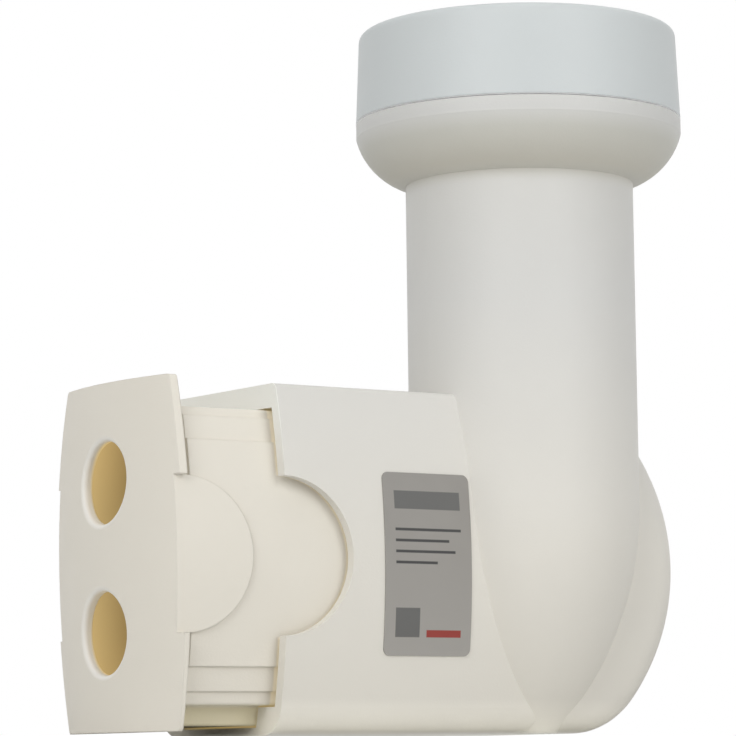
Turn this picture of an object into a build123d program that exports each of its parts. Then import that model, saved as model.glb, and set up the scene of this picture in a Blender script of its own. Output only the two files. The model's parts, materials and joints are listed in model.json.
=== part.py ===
"""Twin satellite LNB: a feed neck on a boxy electronics body, with a sliding weather hood.

Millimetres. Z runs up the feed neck, whose axis is X = Y = 0, and the body stands on Z = 0.
The weather hood slides along X, and the face with the label looks towards -Y.
"""
import os

from build123d import *

# Feed neck, which runs down the body's front as a pointed round end
neck_radius = 20.0
ogive_start = 40.0
ogive_radius = 60.0
neck_top = 96.0

# Feed flange and its cap
flange_radius = 28.6
flange_round = 8.6
flange_bulge = 1.64
flange_rim = 2.5
cap_height = 16.2
cap_draft = 0.7
cap_edge = 1.5
cap_wall = 1.6
cap_spigot = 1.7
cap_fit = 0.1
seam_gap = 0.25

# Electronics body: a tapered box with bowed sides, set back from the neck
body_height = 57.8
mouth_x = -55.8
end_x = 28.0
end_bow_over = 9.1
end_corner = 15.0
edge_blend = 5.5
top_edge = 1.2
body_mid_y = 11.3
mouth_half_width = 21.8
side_bow = 3.5
side_taper = 0.0215
wall = 2.0
rib_thickness = 2.0
rib_low = 62.0
rib_high = 86.0
rib_fit = 0.1

# Weather hood, whose heights follow the body's
hood_travel = 17.6
sleeve_cover = 1.8
hood_roof = 4.3
hood_bottom = 1.6
hood_wall = 1.4
sleeve_edge = 0.6
keel_top = 4.9
keel_inset = 3.5
lip_low_width = 2.2
lip_high_width = 1.5
rail_width = 4.0
rail_step = 0.5
rail_start = 1.5
plate_low = 0.7
plate_proud = 0.7
plate_inset = 0.8
plate_rim = 1.3
plate_thickness = 1.8
plate_dome = 3.6
plate_swell = 0.55
plate_sag = 1.9
plate_crown_radius = 308.0
plate_crest = 24.8
plate_corner = 0.8
pad_lift = 0.3
pad_radius = 12.8
pad_rise = 0.6
plug_hole_radius = 6.9
plug_hole_edge = 0.8
slide_gap = 0.3

# Connectors
connector_spacing = 24.8
connector_lift = 0.5
thread_radius = 4.7
thread_length = 11.5
thread_chamfer = 0.5
hex_flats = 11.0
hex_length = 3.5
shank_radius = 4.0
socket_radius = 3.0
socket_depth = 9.0
contact_radius = 0.9
contact_bore = 0.5
contact_tail = 3.0
contact_recess = 1.8
contact_gap = 0.1
washer_thickness = 0.8
press_gap = 0.05

# Casting and horn, with the casting placed from the body, the connectors and the hood's keel
bore_radius = 9.6
tube_radius = 13.0
tube_foot = 5.5
tube_base = 3.0
tube_drop = 6.0
cast_recess = 6.7
cast_end_gap = 12.0
cast_front_reach = 13.8
cast_back_reach = 9.2
cast_keel_gap = 0.7
cast_margin = 7.15
cast_wall = 4.0
cast_floor = 1.5
ledge = 3.0
end_ledge = 1.5
tube_cover = 1.5
horn_waist = 6.0
horn_throat = 12.0
horn_throat_radius = 15.0
horn_flare = 15.0
horn_groove_depth = 8.0
horn_height = 28.0
horn_ring_width = 1.6
horn_groove_width = 2.0
horn_rings = 2

# Electronics
board_seat = 0.2
board_thickness = 1.6
board_gap = 0.3
seal_thickness = 0.6
lid_thickness = 1.8
screw_radius = 1.1
screw_head = 1.9
screw_head_height = 1.3
screw_depth = 6.0
probe_radius = 0.65
probe_reach = 5.0
probe_sleeve = 2.1
probe_bend = 1.0
probe_drop = 5.0
probe_spacing = 16.0
rod_radius = 1.0
rod_seat = 1.8
can_width = 11.0
can_height = 12.0
can_depth = 4.0
can_corner = 0.8
can_pitch = 15.0

# Label
label_width = 17.8
label_height = 30.6
label_right = -18.6
label_drop = 15.9
label_corner = 1.2
label_thickness = 0.25

# Sizes that follow from those above
flange_round_top = neck_top + flange_round
flange_top = flange_round_top + flange_rim
cap_top = flange_top + cap_height
flange_bore = flange_radius - wall
spigot_radius = flange_bore - cap_fit
body_middle = body_height / 2
bow_radius = (body_middle**2 + side_bow**2) / (2 * side_bow)
end_bow_radius = body_middle + end_bow_over
hood_top = body_height - hood_roof
pad_z = body_middle + pad_lift
channel_half = mouth_half_width - wall
pad_half = channel_half - slide_gap
sleeve_half = pad_half - pad_rise - 2 * rail_step
keel_half = sleeve_half - keel_inset
lip_low = keel_top + lip_low_width
lip_high = hood_top - lip_high_width
notch_radius = pad_radius + slide_gap
sleeve_end = mouth_x + notch_radius + sleeve_cover
channel_end = sleeve_end + hood_travel + slide_gap
plate_half = mouth_half_width - plate_inset
plate_high = body_height + plate_proud
plate_rear = mouth_x - hood_travel - slide_gap
plate_front = plate_rear - plate_rim - plate_dome
crest_z = plate_high - plate_crest
connector_z = body_middle + connector_lift
connector_heights = [connector_z + connector_spacing / 2, connector_z - connector_spacing / 2]
tube_top = neck_top - tube_drop
horn_top = tube_top + horn_height
horn_radius = horn_throat_radius + (horn_rings + 1) * horn_ring_width + horn_rings * horn_groove_width
cast_left = mouth_x + cast_recess
cast_right = end_x - cast_end_gap
cast_front = body_mid_y - cast_front_reach
cast_back = body_mid_y + cast_back_reach
cast_bottom = keel_top + hood_wall + cast_keel_gap
cast_top = connector_heights[0] + cast_margin
tray_left = cast_left + cast_wall
tray_right = -tube_radius - tube_cover
tray_low = cast_bottom + cast_wall
tray_high = cast_top - cast_wall
pocket_right = tray_right - ledge
board_y = body_mid_y + contact_radius + board_seat
board_top = board_y + board_thickness
probe_leg_x = pocket_right - probe_sleeve
probe_leg_y = board_top + probe_radius
probe_high_z = tray_high - probe_drop
probe_low_z = probe_high_z - probe_spacing
rod_z = (probe_high_z + probe_low_z) / 2
tube_floor = probe_low_z - tube_foot
lid_y = cast_back + seal_thickness
hex_front = cast_left - washer_thickness - hex_length
thread_front = hex_front - thread_length
label_low = body_middle - label_drop
far = 4 * body_height
edge_tolerance = 0.1


def half_width_at(x):
    """Half the body's width at mid height, a distance x along the body."""
    return mouth_half_width - side_taper * (x - mouth_x)


def bow_at(z):
    """How far the bowed side has drawn in at height z."""
    return bow_radius - (bow_radius**2 - (z - body_middle) ** 2) ** 0.5


def block(x_low, x_high, y_low, y_high, z_low, z_high):
    """A plain block between two corners."""
    size = (x_high - x_low, y_high - y_low, z_high - z_low)
    return Pos(x_low, y_low, z_low) * Box(*size, align=(Align.MIN, Align.MIN, Align.MIN))


def rod_x(x_low, x_high, y, z, radius):
    """A round rod along X."""
    return Pos(x_low, y, z) * extrude(Plane.YZ * Circle(radius), amount=x_high - x_low)


def rod_y(x, y_low, y_high, z, radius):
    """A round rod along Y."""
    return Pos(x, y_high, z) * extrude(Plane.XZ * Circle(radius), amount=y_high - y_low)


def turned(points):
    """A solid turned about the neck's axis from its outline in radius and height."""
    outline = Plane.XZ * make_face(Polyline(*points, close=True))
    return revolve(outline, Axis.Z)


def bowed_section(half_width, low, high, corner=0.0):
    """Cross-section in Y and Z with bowed sides, about the body's mid plane."""
    low_half = half_width - bow_at(low)
    high_half = half_width - bow_at(high)
    right = body_mid_y + half_width
    left = body_mid_y - half_width
    with BuildSketch(Plane.YZ) as section:
        with BuildLine():
            Line((body_mid_y - low_half, low), (body_mid_y + low_half, low))
            ThreePointArc((body_mid_y + low_half, low), (right, body_middle), (body_mid_y + high_half, high))
            Line((body_mid_y + high_half, high), (body_mid_y - high_half, high))
            ThreePointArc((body_mid_y - high_half, high), (left, body_middle), (body_mid_y - low_half, low))
        make_face()
        if corner:
            fillet(section.vertices(), corner)
    return section.sketch


def bowed_bar(start, end, half_width, low, high, corner=0.0):
    """A straight bar of the bowed cross-section, from X = start to X = end."""
    section = bowed_section(half_width, low, high, corner)
    return Pos(start, 0, 0) * extrude(section, amount=end - start)


def side_outline(start, low, high, reach):
    """The body seen from the side: a flat bottom and a full, bowed end."""
    low_x = reach - end_bow_radius + (end_bow_radius**2 - (body_middle - low) ** 2) ** 0.5
    high_x = reach - end_bow_radius + (end_bow_radius**2 - (high - body_middle) ** 2) ** 0.5
    with BuildSketch(Plane.XZ) as outline:
        with BuildLine():
            Line((start, high), (start, low))
            Line((start, low), (low_x, low))
            ThreePointArc((low_x, low), (reach, body_middle), (high_x, high))
            Line((high_x, high), (start, high))
        make_face()
        fillet(outline.vertices().sort_by(Axis.Y)[:2].sort_by(Axis.X)[-1], end_corner)
    return outline.sketch


def sharp_box(inset, start):
    """The tapered, bowed box with sharp edges, taller than the body by its edge blend."""
    tall = body_height + edge_blend
    finish = end_x + edge_blend
    sections = [Pos(x, 0, 0) * bowed_section(half_width_at(x) - inset, inset, tall) for x in (start, finish)]
    slab = extrude(side_outline(start, inset, tall, end_x - inset), amount=far, both=True)
    return (loft(sections, ruled=True) & slab).solid()


def blended_box(inset, start):
    """The body's box with its lower and end edges blended and its top cut flat."""
    box = sharp_box(inset, start)
    rim = [
        edge
        for edge in box.edges()
        if edge.bounding_box().size.Y < mouth_half_width
        and edge.bounding_box().min.Z < body_middle
        and edge.bounding_box().max.X > start + end_corner
    ]
    box = box.fillet(edge_blend - inset, rim)
    return box & block(-far, far, -far, far, -far, body_height - inset)


def neck_solid(inset, pointed_end):
    """The turned neck: pointed round end, straight neck and cupped feed flange.

    pointed_end is the kind of line that the end follows: an arc outside and straight lines inside.
    """
    centre = neck_radius - ogive_radius
    radius = ogive_radius - inset
    straight = neck_radius - inset
    floor = inset
    tip = centre + (radius**2 - (ogive_start - floor) ** 2) ** 0.5
    half_way = (ogive_start + floor) / 2
    half_radius = centre + (radius**2 - (ogive_start - half_way) ** 2) ** 0.5
    cup = flange_radius - inset
    neck_end = neck_top + inset
    with BuildSketch(Plane.XZ) as profile:
        with BuildLine():
            Line((0, floor), (tip, floor))
            pointed_end((tip, floor), (half_radius, half_way), (straight, ogive_start))
            Line((straight, ogive_start), (straight, neck_end))
            SagittaArc((straight, neck_end), (cup, flange_round_top), -flange_bulge)
            Line((cup, flange_round_top), (cup, flange_top + inset))
            Line((cup, flange_top + inset), (0, flange_top + inset))
            Line((0, flange_top + inset), (0, floor))
        make_face()
    return revolve(profile.sketch, Axis.Z)


def centring_rib(height):
    """A ring inside the neck that holds the feed tube on the neck's axis."""
    seat = tube_radius + rib_fit
    edge = neck_radius - wall / 2
    low = height - rib_thickness / 2
    high = height + rib_thickness / 2
    return turned([(seat, low), (edge, low), (edge, high), (seat, high)])


def housing():
    """The hollow plastic housing, before it is parted into its two shells."""
    outside = blended_box(0.0, mouth_x)
    top_rim = [
        edge
        for edge in outside.edges()
        if edge.bounding_box().min.Z > body_height - edge_tolerance
        and edge.bounding_box().size.X > edge_tolerance
    ]
    outside = outside.fillet(top_edge, top_rim)
    outside = outside + neck_solid(0.0, ThreePointArc)
    inside = blended_box(wall, mouth_x) & block(channel_end, far, -far, far, -far, far)
    inside = inside + neck_solid(wall, Polyline)
    thumb_notch = rod_y(mouth_x, -far, far, pad_z, notch_radius)
    shell = outside - inside - hood_channel() - thumb_notch
    for height in (rib_low, rib_high):
        shell = shell + centring_rib(height)
    return shell


def hood_channel():
    """The way in the housing for the hood's sleeve, with a narrow part below for its keel."""
    way = (mouth_x - wall, channel_end)
    upper = bowed_bar(*way, channel_half, keel_top - slide_gap, hood_top + slide_gap)
    lower = bowed_bar(*way, keel_half + slide_gap, hood_bottom - slide_gap, hood_top)
    return upper + lower


def hood_sleeve():
    """The hood's stepped sleeve: a keel, the wall above it and two steps of rail on each side."""
    rail_x = plate_rear + rail_start
    sleeve = bowed_bar(plate_rear, sleeve_end, keel_half, hood_bottom, hood_top, sleeve_edge)
    sleeve = sleeve + bowed_bar(plate_rear, sleeve_end, sleeve_half, keel_top, hood_top, sleeve_edge)
    sleeve = sleeve + bowed_bar(rail_x, sleeve_end, sleeve_half + rail_step, lip_low, lip_high)
    rail_low = lip_low + rail_width
    rail_high = lip_high - rail_width
    sleeve = sleeve + bowed_bar(rail_x, sleeve_end, sleeve_half + 2 * rail_step, rail_low, rail_high)
    return sleeve


def hood_hollow():
    """The space inside the sleeve and behind the domed plate."""
    top = hood_top - hood_wall
    keel = bowed_bar(plate_front, sleeve_end, keel_half - hood_wall, hood_bottom + hood_wall, top)
    upper = bowed_bar(plate_front, sleeve_end, sleeve_half - hood_wall, keel_top + hood_wall, top)
    return (keel + upper) & dome(plate_thickness)


def hood_plate():
    """The domed plate, widest below its middle and drawn in at its sides beside the thumb pads."""
    low = plate_low + plate_sag
    high = plate_high + plate_sag
    plate = bowed_bar(plate_front, plate_rear, plate_half, low, high, plate_corner)
    plate = Pos(0, 0, -plate_sag) * plate & dome(0.0)
    at_pads = block(-far, far, -far, far, pad_z - pad_radius, pad_z + pad_radius)
    kept = bowed_bar(plate_front, plate_rear, pad_half, plate_low, plate_high)
    return plate - (at_pads - kept)


def weather_hood():
    """The sliding hood: a domed plate with two plug holes on a stepped sleeve with thumb pads."""
    pads = bowed_bar(plate_rear, plate_rear + pad_radius, pad_half, keel_top, hood_top)
    pads = pads & rod_y(plate_rear, -far, far, pad_z, pad_radius)
    hood = hood_plate() + hood_sleeve() + pads - hood_hollow()
    for z in connector_heights:
        hood = hood - rod_x(-far, plate_rear, body_mid_y, z, plug_hole_radius)
    rims = [
        edge
        for edge in hood.edges()
        if edge.bounding_box().max.X < plate_rear
        and abs(edge.bounding_box().size.Z - 2 * plug_hole_radius) < edge_tolerance
    ]
    outer_rims = sorted(rims, key=lambda edge: edge.bounding_box().min.X)[: len(connector_heights)]
    return hood.fillet(plug_hole_edge, outer_rims)


def dome(inset):
    """A long block whose front is the plate's domed face, fuller at its foot and set back by inset."""
    reach = mouth_half_width
    sections = []
    for share in (-1, 0, 1):
        z = (plate_low + plate_high) / 2 + share * (plate_high - plate_low) / 2
        depth = plate_dome - share * plate_swell
        across = (plate_half**2 + depth**2) / (2 * depth)
        sag = across - (across**2 - reach**2) ** 0.5
        crown = plate_crown_radius - (plate_crown_radius**2 - (z - crest_z) ** 2) ** 0.5
        mid = plate_rear - plate_rim - depth + crown + inset
        with BuildSketch(Plane.XY.offset(z)) as section:
            with BuildLine():
                ThreePointArc((mid + sag, -reach), (mid, 0), (mid + sag, reach))
                Line((mid + sag, reach), (channel_end, reach))
                Line((channel_end, reach), (channel_end, -reach))
                Line((channel_end, -reach), (mid + sag, -reach))
            make_face()
        sections.append(section.sketch)
    return Pos(0, body_mid_y, 0) * loft(sections)


def feed_cap():
    """The weather cap over the horn, with a spigot that plugs into the flange."""
    low = flange_top + seam_gap
    inner = flange_radius - cap_wall
    throat = spigot_radius - cap_wall
    shoulder = low + cap_wall
    roof = cap_top - cap_wall
    spigot_low = flange_top - cap_spigot
    points = [
        (throat, spigot_low),
        (spigot_radius, spigot_low),
        (spigot_radius, low),
        (flange_radius, low),
        (flange_radius - cap_draft, cap_top),
        (0, cap_top),
        (0, roof),
        (inner - cap_draft, roof),
        (inner, shoulder + cap_wall),
        (throat, shoulder),
    ]
    cap = turned(points)
    rim = [edge for edge in cap.edges() if edge.bounding_box().min.Z > cap_top - edge_tolerance]
    return cap.fillet(cap_edge, rim)


def cap_seal():
    """The seal ring between the horn's rim and the cap's spigot."""
    inner = horn_radius + press_gap
    outer = spigot_radius - cap_wall - press_gap
    low = flange_top - cap_spigot
    high = low + outer - inner
    return turned([(inner, low), (outer, low), (outer, high), (inner, high)])


def feed_horn():
    """The cast horn: a flared throat inside concentric rings."""
    throat = [(bore_radius, tube_top), (bore_radius, tube_top + horn_throat), (horn_throat_radius, horn_top)]
    rings = []
    radius = horn_throat_radius
    for _ in range(horn_rings):
        radius += horn_ring_width
        rings += [(radius, horn_top), (radius, horn_top - horn_groove_depth)]
        radius += horn_groove_width
        rings += [(radius, horn_top - horn_groove_depth), (radius, horn_top)]
    outside = [
        (horn_radius, horn_top),
        (horn_radius, tube_top + horn_flare),
        (tube_radius, tube_top + horn_waist),
        (tube_radius, tube_top),
    ]
    return turned(throat + rings + outside)


def cast_chassis():
    """The casting: the feed tube and the tray for the circuit board."""
    chassis = block(cast_left, cast_right, cast_front, cast_back, cast_bottom, cast_top)
    tube = Pos(0, 0, tube_floor) * Cylinder(
        tube_radius, tube_top - tube_floor, align=(Align.CENTER, Align.CENTER, Align.MIN)
    )
    chassis = chassis + tube
    chassis = chassis - block(tray_left, tray_right, board_y, far, tray_low, tray_high)
    chassis = chassis - block(tray_left, cast_right - cast_wall, board_top, far, tray_low, tray_high)
    chassis = chassis - block(
        tray_left + ledge,
        pocket_right,
        cast_front + cast_floor,
        far,
        tray_low + end_ledge,
        tray_high - end_ledge,
    )
    bore = Pos(0, 0, tube_floor + tube_base) * Cylinder(
        bore_radius, far, align=(Align.CENTER, Align.CENTER, Align.MIN)
    )
    chassis = chassis - bore
    for z in connector_heights:
        chassis = chassis - rod_x(-far, tray_left, body_mid_y, z, shank_radius + press_gap)
        contact_way = contact_radius + board_gap
        chassis = chassis - rod_x(tray_left - ledge, tray_left + ledge, body_mid_y, z, contact_way)
    chassis = chassis - rod_x(pocket_right, 0, 0, probe_high_z, probe_sleeve + press_gap)
    chassis = chassis - rod_y(0, 0, board_top, probe_low_z, probe_sleeve + press_gap)
    rod_hole = bore_radius + rod_seat
    chassis = chassis - rod_x(-rod_hole, rod_hole, 0, rod_z, rod_radius + press_gap)
    for x, z in screw_places():
        chassis = chassis - rod_y(x, cast_back - screw_depth, far, z, screw_radius + press_gap)
    return chassis


def screw_places():
    """Where the lid's screws stand, in the middle of the tray's wall."""
    inset = cast_wall / 2
    columns = (cast_left + inset, (cast_left + cast_right) / 2, cast_right - inset)
    return [(x, z) for x in columns for z in (cast_bottom + inset, cast_top - inset)]


def lid_plate(low_y, high_y, hole):
    """A flat plate of the tray's outline with a hole at each screw."""
    plate = block(cast_left, cast_right, low_y, high_y, cast_bottom, cast_top)
    for x, z in screw_places():
        plate = plate - rod_y(x, -far, far, z, hole)
    return plate


def lid_seal():
    """The thin gasket under the lid, open over the tray."""
    plate = lid_plate(cast_back, lid_y, screw_radius + press_gap)
    return plate - block(tray_left, cast_right - cast_wall, -far, far, tray_low, tray_high)


def lid_screws():
    """The lid's screws, as one group of separate solids."""
    head_y = lid_y + lid_thickness
    screws = []
    for x, z in screw_places():
        shank = rod_y(x, cast_back - screw_depth + press_gap, head_y, z, screw_radius)
        head = rod_y(x, head_y, head_y + screw_head_height, z, screw_head)
        screws.append(shank + head)
    return Compound(children=[screw.solid() for screw in screws])


def circuit_board():
    """The board, which lies on the tray's ledges."""
    return block(
        tray_left + board_gap,
        tray_right - board_gap,
        board_y,
        board_top,
        tray_low + board_gap,
        tray_high - board_gap,
    )


def shield_cans():
    """Two folded shield cans on the board, one for each receiving chain."""
    middle_x = (tray_left + tray_right) / 2
    tray_middle = (tray_low + tray_high) / 2
    cans = []
    for z in (tray_middle - can_pitch / 2, tray_middle + can_pitch / 2):
        can = block(
            middle_x - can_width / 2,
            middle_x + can_width / 2,
            board_top,
            board_top + can_depth,
            z - can_height / 2,
            z + can_height / 2,
        )
        cans.append(can.fillet(can_corner, can.edges().filter_by(Axis.Y)))
    return Compound(children=cans)


def bent_wire(points):
    """A probe: a round wire bent at its corner."""
    path = FilletPolyline(*points, radius=probe_bend)
    start = Plane(origin=path @ 0, z_dir=path % 0)
    return sweep(start * Circle(probe_radius), path=path)


def probe_high():
    """The upper probe: in from the tray's side, with a leg up to the board."""
    tip = (-bore_radius + probe_reach, 0, probe_high_z)
    return bent_wire([tip, (probe_leg_x, 0, probe_high_z), (probe_leg_x, board_y, probe_high_z)])


def probe_low():
    """The lower probe: in from behind, with a leg that lies on the board."""
    tip = (0, bore_radius - probe_reach, probe_low_z)
    return bent_wire([tip, (0, probe_leg_y, probe_low_z), (probe_leg_x, probe_leg_y, probe_low_z)])


def probe_sleeves():
    """The insulating sleeves in which the two probes pass the tube's wall."""
    high = rod_x(pocket_right, -bore_radius, 0, probe_high_z, probe_sleeve)
    high = high - rod_x(-far, 0, 0, probe_high_z, probe_radius + press_gap)
    low = rod_y(0, bore_radius, probe_leg_y - probe_bend, probe_low_z, probe_sleeve)
    low = low - rod_y(0, 0, far, probe_low_z, probe_radius + press_gap)
    return Compound(children=[high.solid(), low.solid()])


def isolation_rod():
    """The rod across the tube, between the two probes."""
    reach = bore_radius + rod_seat - press_gap
    return rod_x(-reach, reach, 0, rod_z, rod_radius)


def connector(z):
    """A threaded coaxial socket with its hexagon and the shank that seats in the casting."""
    hexagon = Plane.YZ * RegularPolygon(hex_flats / 2, 6, major_radius=False)
    body = Pos(hex_front, body_mid_y, z) * extrude(hexagon, amount=hex_length)
    thread = rod_x(thread_front, hex_front, body_mid_y, z, thread_radius)
    thread = thread.chamfer(thread_chamfer, None, thread.edges().sort_by(Axis.X)[:1])
    shank = rod_x(hex_front + hex_length, tray_left, body_mid_y, z, shank_radius)
    socket = rod_x(thread_front, thread_front + socket_depth, body_mid_y, z, socket_radius)
    way = rod_x(thread_front, 0, body_mid_y, z, contact_radius + contact_gap)
    return body + thread + shank - socket - way


def insulator(z):
    """The insulating plug in the mouth of a connector."""
    mouth = thread_front + thread_chamfer
    plug = rod_x(mouth, thread_front + socket_depth, body_mid_y, z, socket_radius - press_gap)
    return plug - rod_x(-far, 0, body_mid_y, z, contact_radius + press_gap)


def contact(z):
    """The centre contact, hollow at its mouth, with a tail that lies under the board."""
    mouth = thread_front + contact_recess
    pin = rod_x(mouth, tray_left + ledge + contact_tail, body_mid_y, z, contact_radius)
    return pin - rod_x(mouth, mouth + socket_depth / 2, body_mid_y, z, contact_bore)


def connector_washers():
    """The sealing washers between the connectors and the casting."""
    washers = []
    for z in connector_heights:
        ring = rod_x(cast_left - washer_thickness, cast_left, body_mid_y, z, hex_flats / 2)
        washers.append((ring - rod_x(-far, 0, body_mid_y, z, shank_radius + press_gap)).solid())
    return Compound(children=washers)


def label():
    """The foil label, bent to the bowed side."""
    centre = (label_right - label_width / 2, 0, label_low + label_height / 2)
    blank = Plane.XZ * RectangleRounded(label_width, label_height, label_corner)
    cutter = Pos(*centre) * extrude(blank, amount=mouth_half_width)
    return (sharp_box(-label_thickness, mouth_x) & cutter) - sharp_box(0.0, mouth_x)


def save(name, shape):
    """Write one piece under its own name."""
    export_step(shape, f"parts/{name}.step")


def main():
    """Build every piece and write it."""
    os.makedirs("parts", exist_ok=True)
    shell = housing()
    save("front_shell", shell & block(-far, far, -far, 0, -far, far))
    save("back_shell", shell & block(-far, far, 0, far, -far, far))
    save("weather_hood", weather_hood())
    save("feed_cap", feed_cap())
    save("cap_seal", cap_seal())
    save("feed_horn", feed_horn())
    save("cast_chassis", cast_chassis())
    save("chassis_lid", lid_plate(lid_y, lid_y + lid_thickness, screw_radius + press_gap))
    save("lid_seal", lid_seal())
    save("lid_screws", lid_screws())
    save("circuit_board", circuit_board())
    save("shield_cans", shield_cans())
    save("probe_high", probe_high())
    save("probe_low", probe_low())
    save("probe_sleeves", probe_sleeves())
    save("isolation_rod", isolation_rod())
    for name, z in zip(("upper", "lower"), connector_heights):
        save(f"connector_{name}", connector(z))
        save(f"insulator_{name}", insulator(z))
        save(f"contact_{name}", contact(z))
    save("connector_washers", connector_washers())
    save("label", label())


main()
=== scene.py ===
"""Looks of the twin satellite LNB: a finish for every piece, threaded sockets, light and camera."""
import json
import math
from collections import namedtuple
from functools import partial

import bmesh
import bpy
from mathutils import Matrix, Vector


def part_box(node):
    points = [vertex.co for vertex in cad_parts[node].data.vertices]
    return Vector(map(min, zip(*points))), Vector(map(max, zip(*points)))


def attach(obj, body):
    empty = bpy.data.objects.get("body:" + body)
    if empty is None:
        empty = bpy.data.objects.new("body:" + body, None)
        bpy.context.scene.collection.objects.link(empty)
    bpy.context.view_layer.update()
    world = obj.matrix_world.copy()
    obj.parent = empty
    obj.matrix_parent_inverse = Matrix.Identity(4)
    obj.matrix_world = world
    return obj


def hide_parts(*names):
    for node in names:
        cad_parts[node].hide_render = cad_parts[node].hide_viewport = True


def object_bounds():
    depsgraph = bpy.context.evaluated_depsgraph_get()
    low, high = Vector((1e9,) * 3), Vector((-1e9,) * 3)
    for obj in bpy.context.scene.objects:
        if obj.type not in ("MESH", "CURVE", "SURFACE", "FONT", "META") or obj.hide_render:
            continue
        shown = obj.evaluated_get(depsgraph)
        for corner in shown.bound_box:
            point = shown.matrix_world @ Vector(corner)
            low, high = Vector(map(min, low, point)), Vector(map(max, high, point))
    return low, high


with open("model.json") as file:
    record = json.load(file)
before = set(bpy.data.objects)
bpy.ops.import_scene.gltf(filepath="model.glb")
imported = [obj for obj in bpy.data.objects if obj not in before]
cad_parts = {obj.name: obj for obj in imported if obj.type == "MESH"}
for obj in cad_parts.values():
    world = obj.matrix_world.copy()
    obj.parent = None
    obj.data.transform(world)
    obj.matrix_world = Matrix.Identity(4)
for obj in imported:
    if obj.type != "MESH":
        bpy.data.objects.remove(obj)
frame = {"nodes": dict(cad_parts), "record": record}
cad_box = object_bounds()

MM = 0.001
WHITE = (1.0, 1.0, 1.0)

# Camera, fitted to the photograph
VIEW_TURN = math.radians(33.87)
VIEW_PITCH = math.radians(6.4145)
VIEW_ROLL = math.radians(0.723)
EYE = Vector((-368.3, -500.2, -5.6)) * MM
LENS = 174.22
SENSOR = 36.0
CLIP_START = 0.01
CLIP_END = 20.0

# Light: each lamp's name, azimuth and elevation in degrees, and power in watts
LAMPS = [
    ("key", -62.0, 28.0, 2.85),
    ("fill", 8.0, 22.0, 2.25),
    ("top", -30.0, 80.0, 1.0),
]
LAMP_SIZE = 0.5
LAMP_DISTANCE = 0.9
AMBIENT = 0.42
SHOWN_SKY = 1.0

# Floor, which runs out into white and lets the shortest rays pass
FLOOR_SIZE = 6.0
FLOOR_DROP = 0.1 * MM
FLOOR_COLOUR = (0.82, 0.82, 0.81)
FLOOR_ROUGHNESS = 0.9
FLOOR_SPECULAR = 0.1
FLOOR_NEAR = 0.16
FLOOR_FAR = 1.4
CONTACT = 0.6 * MM

# What the finishes share, with scales in patches per metre
BLOTCH = 60.0
GLOSS_FINENESS = 4.0
MOULDED_GRAIN = 2600.0
PLATED_GRAIN = 3000.0
GRAIN_STRENGTH = 0.35
SPECULAR = 0.3
NOISE_DETAIL = 3.0
NOISE_ROUGHNESS = 0.55
NOISE_LOW = 0.3
NOISE_HIGH = 0.7
BEVEL_SAMPLES = 6
MASK_EDGE = 0.35 * MM

# Places taken from the frame
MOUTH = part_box("front_shell")[0].x
FLANGE_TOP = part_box("front_shell")[1].z
UPPER_SOCKET = sum(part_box("connector_upper"), Vector()) / 2
LOWER_SOCKET = sum(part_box("connector_lower"), Vector()) / 2

# Painted light and shade on the housing by height, over the body's own ivory: paler at the very bottom
# edge, a darker neck, a darker warm band under the flange, and a lighter and a darker step across the
# crease below the flange rim
HOUSING_PAINTED_SHADING = [
    (0.0 * MM, (0.95, 0.92, 0.825)),
    (3.0 * MM, (0.84, 0.81, 0.73)),
    (6.0 * MM, (0.745, 0.718, 0.652)),
    (30.0 * MM, (0.752, 0.727, 0.667)),
    (75.0 * MM, (0.664, 0.66, 0.638)),
    (94.0 * MM, (0.655, 0.65, 0.625)),
    (97.0 * MM, (0.615, 0.595, 0.525)),
    (102.0 * MM, (0.59, 0.585, 0.535)),
    (104.3 * MM, (0.635, 0.634, 0.608)),
    (105.1 * MM, (0.61, 0.61, 0.592)),
    (106.2 * MM, (0.632, 0.632, 0.612)),
    (FLANGE_TOP, (0.63, 0.63, 0.61)),
]

# The end of the roof over the hood, which gets a painted light where the hood's plate shades it
ROOF_LOW = 44.0 * MM
ROOF_HIGH = 54.0 * MM
ROOF_EDGE = 0.1 * MM
ROOF_END_PAINTED_LIGHT = (0.87, 0.87, 0.82)

# The seam between the flange and the cap: painted white and a painted glow, which stand in for the light
# that white faces pass to each other there
SEAM_GAP = 0.25 * MM
SEAM_EDGE = 0.03 * MM
SEAM_PAINTED_LIGHT = (0.97, 0.97, 0.97)
SEAM_PAINTED_GLOW = 0.035

# Inside of the weather hood: a painted ochre shade, and a painted glow that stands in for the light that
# comes through its walls
HOOD_MID = UPPER_SOCKET.y
HOOD_MID_HEIGHT = 28.9 * MM
HOOD_BOW_RADIUS = 121.0 * MM
HOOD_INNER_HALF = 17.2 * MM
HOOD_INNER_LOW = 2.3 * MM
HOOD_INNER_HIGH = 52.8 * MM
HOOD_FACE = -76.6 * MM
HOOD_FACE_RADIUS = 63.0 * MM
HOOD_KEEL_HIGH = 5.6 * MM
HOOD_KEEL_INSET = 3.5 * MM
INNER_PAINTED_OCHRE_SHADE = (0.42, 0.3, 0.11)
PAINTED_GLOW_COLOUR = (0.46, 0.36, 0.172)
GLOW_START = -73.0 * MM
GLOW_END = -60.0 * MM
GLOW_LEFT = 0.08
COVER_PAINTED_GLOW = 0.32
NOTCH_HEIGHT = 29.2 * MM
NOTCH_RADIUS = 13.1 * MM

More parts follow.
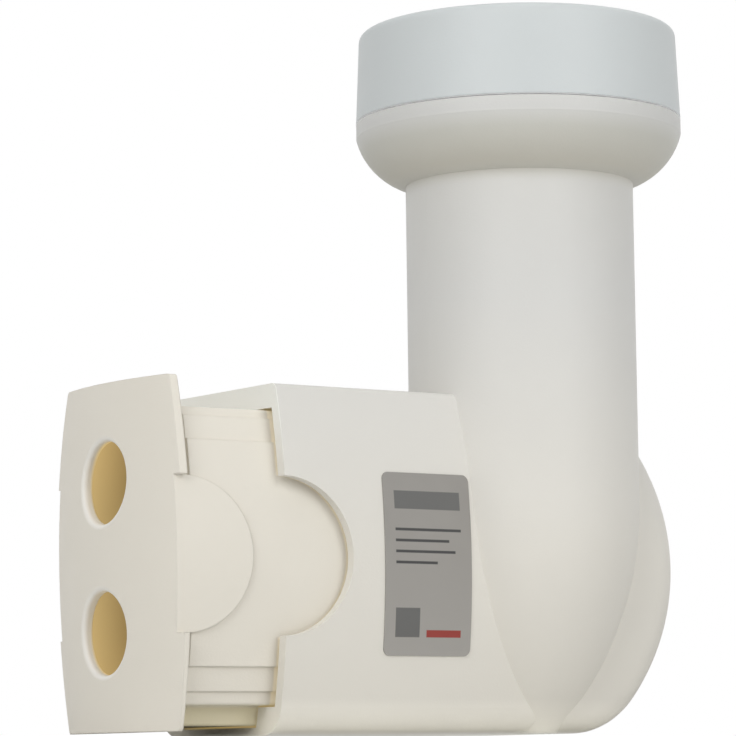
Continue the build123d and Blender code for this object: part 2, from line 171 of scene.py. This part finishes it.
# Outside of the weather hood: a painted warm shade on its keel and a painted light on the rims of its plug
# holes
KEEL_START = -73.5 * MM
KEEL_HIGH = 4.8 * MM
KEEL_PAINTED_SHADE = (0.8, 0.735, 0.54)
HOLE_MID_HEIGHT = (UPPER_SOCKET.z + LOWER_SOCKET.z) / 2
HOLE_SPACING = UPPER_SOCKET.z - LOWER_SOCKET.z
RIM_RADIUS = 7.5 * MM
RIM_PAINTED_LIGHT = (0.85, 0.835, 0.79)

# Circuit board's tracks
TRACK_SCALE = 220.0
TRACK_WIDTH = 0.03
TRACK_GREEN = (0.05, 0.2, 0.08)

# Label: each bar's left, right, bottom and top as shares of the label, and its ink
# The label's lower grey, a painted sheen that makes it paler towards its bottom
LABEL_LOW_PAINTED_SHEEN = (0.36, 0.345, 0.322)
LABEL_EDGE = 0.06 * MM
DARK_INK = (0.06, 0.06, 0.06)
GREY_INK = (0.14, 0.14, 0.135)
RED_INK = (0.3, 0.05, 0.04)
LABEL_BARS = [
    (0.12, 0.88, 0.80, 0.90, GREY_INK),
    (0.12, 0.88, 0.68, 0.695, DARK_INK),
    (0.12, 0.74, 0.62, 0.635, DARK_INK),
    (0.12, 0.81, 0.56, 0.575, DARK_INK),
    (0.12, 0.60, 0.50, 0.515, DARK_INK),
    (0.12, 0.40, 0.10, 0.26, GREY_INK),
    (0.48, 0.88, 0.10, 0.14, RED_INK),
]

# Threaded sockets
THREAD_RADIUS = 4.7 * MM
THREAD_LENGTH = 11.5 * MM
THREAD_PITCH = 0.794 * MM
THREAD_DEPTH = 0.42 * MM
THREAD_CHAMFER = 0.5 * MM
THREAD_SAMPLES = 8
SOCKET_BORE = 3.0 * MM
SOCKET_DEPTH = 9.0 * MM
SOCKET_LIP = 0.3 * MM
SOCKET_WAY = 1.0 * MM
HEX_FLATS = 11.0 * MM
HEX_LENGTH = 3.5 * MM
HEX_CHAMFER = 0.45 * MM
SHANK_RADIUS = 4.0 * MM
RING_POINTS = 72
SHARP_ANGLE = math.radians(35.0)

Finish = namedtuple("Finish", "material tree shader place colour")


def new_material(name):
    """An empty node material, its tree and its shader."""
    material = bpy.data.materials.new(name)
    material.use_nodes = True
    tree = material.node_tree
    return material, tree, tree.nodes["Principled BSDF"]


def add(tree, kind, **settings):
    """Add a node and set its properties by name."""
    node = tree.nodes.new(kind)
    for key, value in settings.items():
        setattr(node, key, value)
    return node


def feed(tree, value, socket):
    """Give an input the output of another node, a colour or a number."""
    if isinstance(value, bpy.types.NodeSocket):
        tree.links.new(value, socket)
    elif isinstance(value, tuple):
        socket.default_value = (*value, 1.0)
    else:
        socket.default_value = value


def compute(tree, operation, first, second=0.0):
    """One step of arithmetic. Each side may be a number or a socket."""
    node = add(tree, "ShaderNodeMath", operation=operation)
    feed(tree, first, node.inputs[0])
    feed(tree, second, node.inputs[1])
    return node.outputs[0]


def product(tree, first, second):
    """Two values multiplied, or two masks that both have to hold."""
    return compute(tree, "MULTIPLY", first, second)


def distance(tree, first, second):
    """The length of a line from its two coordinates."""
    squares = compute(tree, "ADD", product(tree, first, first), product(tree, second, second))
    return compute(tree, "SQRT", squares)


def sagitta(tree, reach, radius):
    """How far a shallow arc has curved away at a distance from its middle."""
    return product(tree, product(tree, reach, reach), 0.5 / radius)


def mapped(tree, value, low, high, start=NOISE_LOW, end=NOISE_HIGH):
    """A value taken from the range start to end into the range low to high."""
    ranged = add(tree, "ShaderNodeMapRange")
    feed(tree, value, ranged.inputs["Value"])
    feed(tree, start, ranged.inputs["From Min"])
    feed(tree, end, ranged.inputs["From Max"])
    feed(tree, low, ranged.inputs["To Min"])
    feed(tree, high, ranged.inputs["To Max"])
    return ranged.outputs["Result"]


def above(tree, value, limit, edge=MASK_EDGE):
    """1 where a value is over a limit and 0 under it, with a soft edge."""
    return mapped(tree, value, 0.0, 1.0, limit - edge, limit + edge)


def below(tree, value, limit, edge=MASK_EDGE):
    """1 where a value is under a limit and 0 over it, with a soft edge."""
    return mapped(tree, value, 1.0, 0.0, limit - edge, limit + edge)


def span(tree, value, low, high, edge=MASK_EDGE):
    """1 where a value lies between low and high, with soft edges."""
    return product(tree, above(tree, value, low, edge), below(tree, value, high, edge))


def position(tree, place, axis, start=0.0):
    """One coordinate of the object's own space, measured from start."""
    parts = add(tree, "ShaderNodeSeparateXYZ")
    feed(tree, place, parts.inputs["Vector"])
    coordinate = parts.outputs[axis]
    if start:
        coordinate = compute(tree, "SUBTRACT", coordinate, start)
    return coordinate


def noise(tree, place, scale):
    """A noise pattern in the object's own space."""
    pattern = add(tree, "ShaderNodeTexNoise")
    feed(tree, scale, pattern.inputs["Scale"])
    feed(tree, NOISE_DETAIL, pattern.inputs["Detail"])
    feed(tree, NOISE_ROUGHNESS, pattern.inputs["Roughness"])
    feed(tree, place, pattern.inputs["Vector"])
    return pattern.outputs["Fac"]


def mixed(tree, share, first, second, blend="MIX"):
    """Two colours mixed by a share. Each may be a colour or a socket."""
    mix = add(tree, "ShaderNodeMix", data_type="RGBA", blend_type=blend)
    feed(tree, share, mix.inputs["Factor"])
    colour_inputs = [socket for socket in mix.inputs if socket.type == "RGBA"]
    for socket, value in zip(colour_inputs, (first, second)):
        feed(tree, value, socket)
    return [socket for socket in mix.outputs if socket.type == "RGBA"][0]


def ramp(tree, value, stops):
    """A colour that changes along a value. Each stop is a place on the value and its colour."""
    node = add(tree, "ShaderNodeValToRGB")
    first = stops[0][0]
    last = stops[-1][0]
    feed(tree, mapped(tree, value, 0.0, 1.0, first, last), node.inputs["Fac"])
    elements = node.color_ramp.elements
    elements[0].color = (*stops[0][1], 1.0)
    elements[1].color = (*stops[-1][1], 1.0)
    for place, colour in stops[1:-1]:
        element = elements.new((place - first) / (last - first))
        element.color = (*colour, 1.0)
    return node.outputs["Color"]


def surface(name, first, second, rough, grain, relief, metallic=0.0, soft=0.0):
    """A finish with two close colours in soft patches, varied gloss and a fine grain.

    rough is the range of roughness, grain the grain's scale, relief its depth in metres,
    and soft the radius to which sharp edges are rounded off in the shading.
    """
    material, tree, shader = new_material(name)
    place = add(tree, "ShaderNodeTexCoord").outputs["Object"]
    colour = mixed(tree, mapped(tree, noise(tree, place, BLOTCH), 0.0, 1.0), first, second)
    feed(tree, colour, shader.inputs["Base Color"])
    gloss = noise(tree, place, BLOTCH * GLOSS_FINENESS)
    feed(tree, mapped(tree, gloss, *rough), shader.inputs["Roughness"])
    bump = add(tree, "ShaderNodeBump")
    feed(tree, GRAIN_STRENGTH, bump.inputs["Strength"])
    feed(tree, relief, bump.inputs["Distance"])
    feed(tree, noise(tree, place, grain), bump.inputs["Height"])
    if soft:
        edge = add(tree, "ShaderNodeBevel", samples=BEVEL_SAMPLES)
        feed(tree, soft, edge.inputs["Radius"])
        feed(tree, edge.outputs["Normal"], bump.inputs["Normal"])
    feed(tree, bump.outputs["Normal"], shader.inputs["Normal"])
    feed(tree, metallic, shader.inputs["Metallic"])
    feed(tree, SPECULAR, shader.inputs["Specular IOR Level"])
    return Finish(material, tree, shader, place, colour)


def housing_plastic():
    """Moulded plastic that warms from a neutral white on the neck to its own ivory on the body, with
    painted light and shade by height: a paler bottom edge, a darker neck and a darker warm band under the
    flange. The end of the roof over the hood has a painted light, and the seam under the cap is painted
    white with a painted glow.
    """
    material, tree, shader, place, colour = surface(
        "housing_plastic",
        first=(0.985, 0.985, 0.985),
        second=WHITE,
        rough=(0.42, 0.5),
        grain=MOULDED_GRAIN,
        relief=0.06 * MM,
    )
    height = position(tree, place, "Z")
    # Painted light and shade by height: a paler bottom edge, a darker neck and a darker warm band under the
    # flange
    colour = mixed(tree, 1.0, ramp(tree, height, HOUSING_PAINTED_SHADING), colour, blend="MULTIPLY")
    from_mouth = position(tree, place, "X", MOUTH)
    # Painted light on the end face of the roof over the hood, which the hood's plate shades
    roof = mapped(tree, height, 0.0, 1.0, ROOF_LOW, ROOF_HIGH)
    roof_end = product(tree, roof, mapped(tree, from_mouth, 1.0, 0.0, ROOF_EDGE, 2 * ROOF_EDGE))
    colour = mixed(tree, roof_end, colour, ROOF_END_PAINTED_LIGHT)
    # Painted light in the seam under the cap: white and a faint painted glow on the flange's top
    seam = mapped(tree, height, 0.0, 1.0, FLANGE_TOP - SEAM_EDGE, FLANGE_TOP)
    feed(tree, mixed(tree, seam, colour, SEAM_PAINTED_LIGHT), shader.inputs["Base Color"])
    feed(tree, product(tree, seam, SEAM_PAINTED_GLOW), shader.inputs["Emission Strength"])
    return material


def cap_plastic():
    """Moulded plastic of a cooler white, painted white with a painted glow where it meets the seam above
    the flange.
    """
    material, tree, shader, place, colour = surface(
        "cap_plastic",
        first=(0.58, 0.612, 0.615),
        second=(0.59, 0.622, 0.625),
        rough=(0.38, 0.46),
        grain=MOULDED_GRAIN,
        relief=0.05 * MM,
        soft=0.5 * MM,
    )
    cap_low = FLANGE_TOP + SEAM_GAP
    # Painted light in the seam above the flange: white and a faint painted glow on the cap's faces below it
    seam = mapped(tree, position(tree, place, "Z"), 1.0, 0.0, cap_low, cap_low + SEAM_EDGE)
    feed(tree, mixed(tree, seam, colour, SEAM_PAINTED_LIGHT), shader.inputs["Base Color"])
    feed(tree, product(tree, seam, SEAM_PAINTED_GLOW), shader.inputs["Emission Strength"])
    return material


def inside_hood(tree, place):
    """1 on the inner faces of the hood and 0 on its outer faces."""
    across = position(tree, place, "Y", HOOD_MID)
    height = position(tree, place, "Z")
    bow = sagitta(tree, position(tree, place, "Z", HOOD_MID_HEIGHT), HOOD_BOW_RADIUS)
    reach = compute(tree, "ADD", compute(tree, "ABSOLUTE", across), bow)
    keel_inset = product(tree, below(tree, height, HOOD_KEEL_HIGH), HOOD_KEEL_INSET)
    reach = compute(tree, "ADD", reach, keel_inset)
    dome = sagitta(tree, across, HOOD_FACE_RADIUS)
    behind = compute(tree, "SUBTRACT", position(tree, place, "X"), dome)
    share = product(tree, below(tree, reach, HOOD_INNER_HALF), above(tree, behind, HOOD_FACE))
    return product(tree, share, span(tree, height, HOOD_INNER_LOW, HOOD_INNER_HIGH))


def covered_painted_glow(tree, place):
    """A painted glow on the hood where the housing covers it, outside the thumb notch, which stands in for
    the light that passes through the housing.
    """
    along = position(tree, place, "X", MOUTH)
    from_notch = distance(tree, along, position(tree, place, "Z", NOTCH_HEIGHT))
    outside = mapped(tree, from_notch, 0.0, 1.0, NOTCH_RADIUS, NOTCH_RADIUS + MASK_EDGE)
    return product(tree, outside, mapped(tree, along, 0.0, COVER_PAINTED_GLOW, 0.0, MASK_EDGE))


def plug_rims(tree, place):
    """1 on the rounded rims of the plug holes and 0 around them."""
    across = position(tree, place, "Y", HOOD_MID)
    from_middle = compute(tree, "ABSOLUTE", position(tree, place, "Z", HOLE_MID_HEIGHT))
    from_hole = compute(tree, "SUBTRACT", from_middle, HOLE_SPACING / 2)
    return below(tree, distance(tree, across, from_hole), RIM_RADIUS)


def hood_plastic():
    """Moulded ivory plastic, with a painted light on the rims of the plug holes, a painted warm shade on
    its keel, a painted deep ochre shade inside and a painted glow inside it and where the housing covers
    it.
    """
    material, tree, shader, place, colour = surface(
        "hood_plastic",
        first=(0.765, 0.727, 0.645),
        second=(0.78, 0.742, 0.66),
        rough=(0.42, 0.52),
        grain=MOULDED_GRAIN,
        relief=0.06 * MM,
        soft=0.4 * MM,
    )
    # Painted warm shade on the keel's lower band behind the plate
    along = position(tree, place, "X")
    keel = below(tree, position(tree, place, "Z"), KEEL_HIGH)
    keel = product(tree, keel, above(tree, along, KEEL_START))
    colour = mixed(tree, keel, colour, KEEL_PAINTED_SHADE)
    # Painted light on the rounded rims of the plug holes
    colour = mixed(tree, plug_rims(tree, place), colour, RIM_PAINTED_LIGHT)
    # Painted ochre shade on the hood's inner faces
    inner = inside_hood(tree, place)
    feed(tree, mixed(tree, inner, colour, INNER_PAINTED_OCHRE_SHADE), shader.inputs["Base Color"])
    # Painted glow that stands in for light through the walls: strongest inside behind the plate and where
    # the housing covers the hood
    depth = mapped(tree, along, 1.0, GLOW_LEFT, GLOW_START, GLOW_END)
    glow = compute(tree, "MAXIMUM", product(tree, inner, depth), covered_painted_glow(tree, place))
    feed(tree, PAINTED_GLOW_COLOUR, shader.inputs["Emission Color"])
    feed(tree, glow, shader.inputs["Emission Strength"])
    return material


def rubber():
    """Dull black rubber."""
    finish = surface(
        "seal_rubber",
        first=(0.02, 0.02, 0.02),
        second=(0.035, 0.035, 0.035),
        rough=(0.7, 0.85),
        grain=1800.0,
        relief=0.1 * MM,
    )
    return finish.material


def cast_metal():
    """Die-cast alloy with a grainy skin."""
    finish = surface(
        "cast_metal",
        first=(0.42, 0.43, 0.44),
        second=(0.55, 0.56, 0.57),
        rough=(0.38, 0.6),
        grain=1200.0,
        relief=0.12 * MM,
        metallic=1.0,
    )
    return finish.material


def plated_metal(name, first, second, rough):
    """A smooth metal with a fine grain."""
    finish = surface(name, first, second, rough, grain=PLATED_GRAIN, relief=0.03 * MM, metallic=1.0)
    return finish.material


def steel():
    """Plated steel."""
    return plated_metal("steel", first=(0.55, 0.55, 0.56), second=(0.64, 0.64, 0.65), rough=(0.2, 0.34))


def nickel():
    """Bright nickel plate."""
    return plated_metal("nickel", first=(0.62, 0.59, 0.54), second=(0.7, 0.67, 0.62), rough=(0.16, 0.28))


def brass():
    """Bare brass."""
    return plated_metal("brass", first=(0.66, 0.47, 0.19), second=(0.75, 0.56, 0.26), rough=(0.22, 0.36))


def insulator():
    """Waxy white insulating plastic."""
    finish = surface(
        "insulator",
        first=(0.78, 0.78, 0.76),
        second=(0.84, 0.84, 0.82),
        rough=(0.4, 0.5),
        grain=2200.0,
        relief=0.04 * MM,
    )
    return finish.material


def board():
    """Green lacquer over copper tracks."""
    material, tree, shader, place, colour = surface(
        "board",
        first=(0.012, 0.09, 0.035),
        second=(0.02, 0.12, 0.05),
        rough=(0.22, 0.34),
        grain=2400.0,
        relief=0.04 * MM,
    )
    tracks = add(tree, "ShaderNodeTexBrick")
    feed(tree, TRACK_SCALE, tracks.inputs["Scale"])
    feed(tree, TRACK_WIDTH, tracks.inputs["Mortar Size"])
    feed(tree, place, tracks.inputs["Vector"])
    feed(tree, mixed(tree, tracks.outputs["Fac"], colour, TRACK_GREEN), shader.inputs["Base Color"])
    return material


def label_foil():
    """Silver-grey foil with plain printed bars, paler towards the bottom by a painted sheen."""
    material, tree, shader, place, colour = surface(
        "label_foil",
        first=(0.275, 0.262, 0.242),
        second=(0.305, 0.292, 0.272),
        rough=(0.36, 0.46),
        grain=PLATED_GRAIN,
        relief=0.02 * MM,
    )
    low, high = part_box("label")
    width = high.x - low.x
    height = high.z - low.z
    along = position(tree, place, "X", low.x)
    up = position(tree, place, "Z", low.z)
    # Painted sheen: paler towards the bottom of the label
    colour = mixed(tree, mapped(tree, up, 0.0, 1.0, 0.0, height), LABEL_LOW_PAINTED_SHEEN, colour)
    for left, right, bottom, top, ink in LABEL_BARS:
        across_bar = span(tree, along, left * width, right * width, LABEL_EDGE)
        up_bar = span(tree, up, bottom * height, top * height, LABEL_EDGE)
        colour = mixed(tree, product(tree, across_bar, up_bar), colour, ink)
    feed(tree, colour, shader.inputs["Base Color"])
    return material


MAKERS = {
    "housing_plastic": housing_plastic,
    "hood_plastic": hood_plastic,
    "cap_plastic": cap_plastic,
    "seal_rubber": rubber,
    "cast_metal": cast_metal,
    "steel": steel,
    "nickel": nickel,
    "brass": brass,
    "insulator": insulator,
    "board": board,
    "label_foil": label_foil,
}


def dress():
    """Give every CAD node the finish of its slot."""
    finishes = {slot: make() for slot, make in MAKERS.items()}
    for entry in frame["record"]["subparts"]:
        node = frame["nodes"][entry["node"]]
        node.data.materials.clear()
        node.data.materials.append(finishes[entry["material_slot"]])
    return finishes


def round_ring(radius):
    """A ring that has one radius in every direction."""
    return lambda turn: radius


def hexagon_radius(turn):
    """How far the socket's hexagon reaches in one direction."""
    sixth = math.pi / 3
    from_flat = (turn + sixth / 2) % sixth - sixth / 2
    return HEX_FLATS / 2 / math.cos(from_flat)


def thread_radius(along, turn):
    """The radius of the screw thread, which fades out at both ends."""
    phase = (along / THREAD_PITCH - turn / (2 * math.pi)) % 1.0
    groove = 1.0 - abs(2.0 * phase - 1.0)
    fade = min(1.0, along / THREAD_PITCH, (THREAD_LENGTH - along) / THREAD_PITCH)
    return THREAD_RADIUS - THREAD_DEPTH * groove * max(0.0, fade)


def socket_rings(front, back):
    """The socket's rings, from its rear bore round its outside: where each stands, and its radius."""
    hex_front = front + THREAD_LENGTH
    hex_back = hex_front + HEX_LENGTH
    rings = [
        (back, round_ring(SOCKET_WAY)),
        (front + SOCKET_DEPTH, round_ring(SOCKET_WAY)),
        (front + SOCKET_DEPTH, round_ring(SOCKET_BORE)),
        (front + SOCKET_LIP, round_ring(SOCKET_BORE)),
        (front, round_ring(SOCKET_BORE + SOCKET_LIP)),
        (front, round_ring(THREAD_RADIUS - THREAD_CHAMFER)),
    ]
    threaded = THREAD_LENGTH - THREAD_CHAMFER
    steps = int(threaded / THREAD_PITCH * THREAD_SAMPLES)
    for step in range(steps + 1):
        along = THREAD_CHAMFER + threaded * step / steps
        rings.append((front + along, partial(thread_radius, along)))
    rings += [
        (hex_front, round_ring(HEX_FLATS / 2)),
        (hex_front + HEX_CHAMFER, hexagon_radius),
        (hex_back - HEX_CHAMFER, hexagon_radius),
        (hex_back, round_ring(HEX_FLATS / 2)),
        (hex_back, round_ring(SHANK_RADIUS)),
        (back, round_ring(SHANK_RADIUS)),
    ]
    return rings


def threaded_socket(name, node, finish):
    """A coaxial socket with its screw thread, in place of the plain one."""
    low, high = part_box(node)
    middle = (low + high) / 2
    mesh = bmesh.new()
    loops = []
    for x, radius in socket_rings(low.x, high.x):
        loop = []
        for index in range(RING_POINTS):
            turn = 2 * math.pi * index / RING_POINTS
            y = middle.y + radius(turn) * math.cos(turn)
            z = middle.z + radius(turn) * math.sin(turn)
            loop.append(mesh.verts.new((x, y, z)))
        loops.append(loop)
    for first, second in zip(loops, loops[1:] + loops[:1]):
        for index in range(RING_POINTS):
            after = (index + 1) % RING_POINTS
            mesh.faces.new((first[index], first[after], second[after], second[index]))
    bmesh.ops.recalc_face_normals(mesh, faces=mesh.faces)
    data = bpy.data.meshes.new(name)
    mesh.to_mesh(data)
    mesh.free()
    data.shade_smooth()
    data.set_sharp_from_angle(angle=SHARP_ANGLE)
    data.materials.append(finish)
    piece = bpy.data.objects.new(name, data)
    bpy.context.collection.objects.link(piece)
    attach(piece, "housing")
    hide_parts(node)


def softbox(name, azimuth, elevation, power):
    """A large square lamp that faces the object's middle. Azimuth 0 lights along +Y."""
    data = bpy.data.lights.new(name, "AREA")
    data.energy = power
    data.size = LAMP_SIZE
    lamp = bpy.data.objects.new(name, data)
    bpy.context.collection.objects.link(lamp)
    turn = math.radians(azimuth)
    rise = math.radians(elevation)
    away = Vector((math.sin(turn) * math.cos(rise), -math.cos(turn) * math.cos(rise), math.sin(rise)))
    middle = (cad_box[0] + cad_box[1]) / 2
    lamp.location = middle + away * LAMP_DISTANCE
    lamp.rotation_mode = "QUATERNION"
    lamp.rotation_quaternion = (-away).to_track_quat("-Z", "Y")


def seen_rays(tree):
    """1 for the rays that show the background: straight to the eye, mirrored, or through glass."""
    path = add(tree, "ShaderNodeLightPath")
    seen = compute(tree, "MAXIMUM", path.outputs["Is Camera Ray"], path.outputs["Is Glossy Ray"])
    return compute(tree, "MAXIMUM", seen, path.outputs["Is Transmission Ray"])


def joined(tree, share, first, second):
    """Two shaders mixed by a share."""
    mix = add(tree, "ShaderNodeMixShader")
    feed(tree, share, mix.inputs[0])
    feed(tree, first.outputs[0], mix.inputs[1])
    feed(tree, second.outputs[0], mix.inputs[2])
    return mix


def sky():
    """Even white behind the object, with a softer light for its shading."""
    world = bpy.data.worlds.new("sky")
    bpy.context.scene.world = world
    world.use_nodes = True
    tree = world.node_tree
    shown = tree.nodes["Background"]
    lighting = add(tree, "ShaderNodeBackground")
    for background, strength in ((shown, SHOWN_SKY), (lighting, AMBIENT)):
        feed(tree, WHITE, background.inputs["Color"])
        feed(tree, strength, background.inputs["Strength"])
    both = joined(tree, seen_rays(tree), lighting, shown)
    feed(tree, both.outputs[0], tree.nodes["World Output"].inputs["Surface"])


def floor():
    """A pale floor that runs out into white.

    It is open from below, because the eye is a little under its level, and to rays so short
    that they come from the underside that rests on it, which stays lit in this way.
    """
    bpy.ops.mesh.primitive_plane_add(size=FLOOR_SIZE, location=(0.0, 0.0, -FLOOR_DROP))
    plane = bpy.context.object
    plane.name = "floor"
    material, tree, shader = new_material("floor")
    feed(tree, FLOOR_COLOUR, shader.inputs["Base Color"])
    feed(tree, FLOOR_ROUGHNESS, shader.inputs["Roughness"])
    feed(tree, FLOOR_SPECULAR, shader.inputs["Specular IOR Level"])
    white = add(tree, "ShaderNodeEmission")
    from_middle = add(tree, "ShaderNodeVectorMath", operation="LENGTH")
    feed(tree, add(tree, "ShaderNodeTexCoord").outputs["Object"], from_middle.inputs[0])
    far = mapped(tree, from_middle.outputs["Value"], 0.0, 1.0, FLOOR_NEAR, FLOOR_FAR)
    shaded = joined(tree, product(tree, far, seen_rays(tree)), shader, white)
    underside = add(tree, "ShaderNodeNewGeometry").outputs["Backfacing"]
    ray_length = add(tree, "ShaderNodeLightPath").outputs["Ray Length"]
    is_open = compute(tree, "MAXIMUM", underside, compute(tree, "LESS_THAN", ray_length, CONTACT))
    both = joined(tree, is_open, shaded, add(tree, "ShaderNodeBsdfTransparent"))
    feed(tree, both.outputs[0], tree.nodes["Material Output"].inputs["Surface"])
    plane.data.materials.append(material)


def camera():
    """The camera at the photograph's angle."""
    data = bpy.data.cameras.new("camera")
    data.lens = LENS
    data.sensor_width = SENSOR
    data.clip_start = CLIP_START
    data.clip_end = CLIP_END
    eye = bpy.data.objects.new("camera", data)
    bpy.context.collection.objects.link(eye)
    level_right = Vector((math.cos(VIEW_TURN), -math.sin(VIEW_TURN), 0.0))
    level_ahead = Vector((math.sin(VIEW_TURN), math.cos(VIEW_TURN), 0.0))
    ahead = level_ahead * math.cos(VIEW_PITCH) + Vector((0.0, 0.0, math.sin(VIEW_PITCH)))
    up = level_right.cross(ahead)
    right = level_right * math.cos(VIEW_ROLL) - up * math.sin(VIEW_ROLL)
    above_eye = level_right * math.sin(VIEW_ROLL) + up * math.cos(VIEW_ROLL)
    turn = Matrix((right, above_eye, -ahead)).transposed().to_4x4()
    eye.matrix_world = Matrix.Translation(EYE) @ turn
    bpy.context.scene.camera = eye


bpy.context.scene.view_settings.view_transform = "Standard"
finishes = dress()
threaded_socket("socket_upper", "connector_upper", finishes["nickel"])
threaded_socket("socket_lower", "connector_lower", finishes["nickel"])
sky()
floor()
for lamp in LAMPS:
    softbox(*lamp)
camera()
